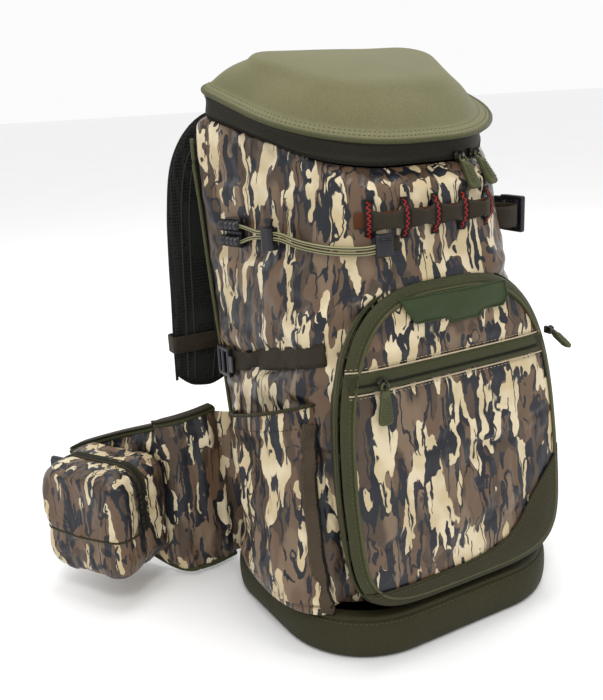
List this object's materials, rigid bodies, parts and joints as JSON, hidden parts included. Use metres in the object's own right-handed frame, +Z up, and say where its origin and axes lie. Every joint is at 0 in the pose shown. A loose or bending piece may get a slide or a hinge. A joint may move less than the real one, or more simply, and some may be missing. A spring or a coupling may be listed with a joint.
{
  "type": "backpack",
  "caption": "Framed hunting day pack with a moulded base and zip lid, a zip-down front pocket, bottle pockets, a bungee tie, and belt wings with pouches.",
  "frame": {"origin": "centre of the flat underside of the moulded base, on the ground", "axes": "+X to the right when facing the front pocket, -Y out of the front, +Y towards the wearer, +Z up"},
  "size_m": [0.6322, 0.4055, 0.5264],
  "materials": {
    "camo_cloth": "coated camouflage cloth, vertical bark pattern, slight sheen",
    "moulded_olive": "cloth-faced moulded foam, olive",
    "guard_cloth": "dark olive brushed cloth",
    "band_cloth": "dark olive-brown cloth",
    "olive_zip": "olive zip tape, coil and piping",
    "brown_webbing": "ribbed brown-olive webbing",
    "black_webbing": "black webbing loops with red bar tacks",
    "black_plastic": "black moulded acetal",
    "slider_metal": "dark coated metal",
    "olive_rubber": "moulded olive rubber",
    "shock_cord": "olive and black braided shock cord",
    "black_mesh": "black spacer mesh",
    "stay_metal": "flat aluminium bar"
  },
  "bodies": {
    "pack": {"base_tray": "moulded_olive", "base_board": "moulded_olive", "main_shell": "camo_cloth", "neck_zipper": "band_cloth", "back_panel": "black_mesh", "frame_stays": "stay_metal", "back_pads": "black_mesh", "side_pocket_left": "camo_cloth", "side_pocket_right": "camo_cloth", "pocket_binding_left": "brown_webbing", "pocket_binding_right": "brown_webbing", "daisy_webbing": "brown_webbing", "daisy_loops": "black_webbing", "bungee_anchor": "black_plastic", "bungee_cord": "shock_cord", "bungee_end_clip": "black_plastic", "side_straps": "brown_webbing", "side_buckles": "black_plastic", "gear_strap": "brown_webbing", "gear_buckle_frame": "black_plastic", "front_gusset": "camo_cloth", "panel_zipper": "olive_zip", "panel_slider": "slider_metal", "shoulder_strap_left": "black_mesh", "shoulder_strap_right": "black_mesh", "strap_webbing": "brown_webbing", "strap_adjusters": "black_plastic"},
    "haul_handle": {"haul_handle": "brown_webbing"},
    "lid": {"lid_shell": "moulded_olive", "lid_band": "band_cloth", "lid_piping": "olive_zip", "lid_sliders": "slider_metal"},
    "lid_pull_front": {"lid_pull_front": "olive_rubber"},
    "lid_pull_rear": {"lid_pull_rear": "olive_rubber"},
    "front_panel": {"front_panel": "camo_cloth", "panel_patch": "olive_rubber", "panel_guard": "guard_cloth", "panel_zip_tape": "olive_zip"},
    "zip_slider": {"zip_slider": "slider_metal"},
    "zip_pull": {"zip_pull": "olive_rubber"},
    "panel_pull": {"panel_pull": "olive_rubber"},
    "cord_lock": {"cord_lock_body": "black_plastic"},
    "cord_lock_button": {"cord_lock_button": "black_plastic"},
    "gear_buckle_tongue": {"gear_buckle_tongue": "black_plastic", "gear_strap_tail": "brown_webbing"},
    "sternum_band_left": {"sternum_band_left": "band_cloth"},
    "hip_wing_left": {"hip_wing_left": "camo_cloth", "wing_webbing_left": "brown_webbing", "pouch_tub_left": "camo_cloth"},
    "belt_buckle_left": {"belt_buckle_left": "black_plastic"},
    "pouch_flap_left": {"pouch_flap_left": "camo_cloth"},
    "pouch_pull_left": {"pouch_pull_left": "olive_rubber"},
    "sternum_band_right": {"sternum_band_right": "band_cloth"},
    "hip_wing_right": {"hip_wing_right": "camo_cloth", "wing_webbing_right": "brown_webbing", "pouch_tub_right": "camo_cloth"},
    "belt_buckle_right": {"belt_buckle_right": "black_plastic"},
    "pouch_flap_right": {"pouch_flap_right": "camo_cloth"},
    "pouch_pull_right": {"pouch_pull_right": "olive_rubber"}
  },
  "joints": [
    {"name": "haul_handle_flop", "type": "hinge", "parent": "pack", "child": "haul_handle", "pos_m": [0, 0.102, 0.439], "axis": [1, 0, 0], "range_deg": [-30, 30]},
    {"name": "lid_hinge", "type": "hinge", "parent": "pack", "child": "lid", "pos_m": [0, 0.0795, 0.47643], "axis": [-1, 0, 0], "range_deg": [0, 92]},
    {"name": "lid_pull_front_swing", "type": "hinge", "parent": "lid", "child": "lid_pull_front", "pos_m": [0.0362, -0.08733, 0.42778], "axis": [-0.9945, -0.1045, 0], "range_deg": [0, 90]},
    {"name": "lid_pull_rear_swing", "type": "hinge", "parent": "lid", "child": "lid_pull_rear", "pos_m": [0.05634, -0.08269, 0.42917], "axis": [-0.9397, -0.342, 0], "range_deg": [0, 90]},
    {"name": "front_panel_hinge", "type": "hinge", "parent": "pack", "child": "front_panel", "pos_m": [0, -0.13664, 0.0504], "axis": [1, 0, 0], "range_deg": [0, 80]},
    {"name": "zip_slide", "type": "slide", "parent": "front_panel", "child": "zip_slider", "axis": [1, 0, 0], "range_m": [0, 0.164]},
    {"name": "zip_pull_swing", "type": "hinge", "parent": "zip_slider", "child": "zip_pull", "pos_m": [-0.08, -0.13424, 0.258], "axis": [-1, 0, 0], "range_deg": [0, 100]},
    {"name": "panel_pull_swing", "type": "hinge", "parent": "pack", "child": "panel_pull", "pos_m": [0.1241, -0.1109, 0.262], "axis": [0, 1, 0], "range_deg": [-40, 40]},
    {"name": "cord_lock_slide", "type": "slide", "parent": "pack", "child": "cord_lock", "axis": [0.3007, -0.9537, 0], "range_m": [-0.007, 0.008]},
    {"name": "cord_lock_press", "type": "slide", "parent": "cord_lock", "child": "cord_lock_button", "axis": [0, 0, -1], "range_m": [0, 0.004], "stiffness_N_per_m": 600, "springref_m": -0.001},
    {"name": "gear_buckle_release", "type": "slide", "parent": "pack", "child": "gear_buckle_tongue", "axis": [0, 1, 0], "range_m": [0, 0.018]},
    {"name": "sternum_slide_left", "type": "slide", "parent": "pack", "child": "sternum_band_left", "axis": [0.0599, 0.0299, 0.9978], "range_m": [-0.005, 0.018]},
    {"name": "wing_swing_left", "type": "hinge", "parent": "pack", "child": "hip_wing_left", "pos_m": [-0.127, 0.092, 0.094], "axis": [0, 0, -1], "range_deg": [-15, 35]},
    {"name": "belt_buckle_swing_left", "type": "hinge", "parent": "hip_wing_left", "child": "belt_buckle_left", "pos_m": [-0.262, 0.218, 0.087], "axis": [0, 0, 1], "range_deg": [-30, 30]},
    {"name": "pouch_flap_hinge_left", "type": "hinge", "parent": "hip_wing_left", "child": "pouch_flap_left", "pos_m": [-0.26336, 0.0591, 0.076], "axis": [0.5299, -0.848, 0], "range_deg": [0, 70]},
    {"name": "pouch_pull_swing_left", "type": "hinge", "parent": "hip_wing_left", "child": "pouch_pull_left", "pos_m": [-0.28387, 0.17363, 0.098], "axis": [0.848, 0.5299, 0], "range_deg": [0, 90]},
    {"name": "sternum_slide_right", "type": "slide", "parent": "pack", "child": "sternum_band_right", "axis": [-0.0599, 0.0299, 0.9978], "range_m": [-0.005, 0.018]},
    {"name": "wing_swing_right", "type": "hinge", "parent": "pack", "child": "hip_wing_right", "pos_m": [0.127, 0.092, 0.094], "axis": [0, 0, 1], "range_deg": [-15, 35]},
    {"name": "belt_buckle_swing_right", "type": "hinge", "parent": "hip_wing_right", "child": "belt_buckle_right", "pos_m": [0.262, 0.218, 0.087], "axis": [0, 0, -1], "range_deg": [-30, 30]},
    {"name": "pouch_flap_hinge_right", "type": "hinge", "parent": "hip_wing_right", "child": "pouch_flap_right", "pos_m": [0.26336, 0.0591, 0.076], "axis": [0.5299, 0.848, 0], "range_deg": [0, 70]},
    {"name": "pouch_pull_swing_right", "type": "hinge", "parent": "hip_wing_right", "child": "pouch_pull_right", "pos_m": [0.28387, 0.17363, 0.098], "axis": [0.848, -0.5299, 0], "range_deg": [0, 90]}
  ]
}
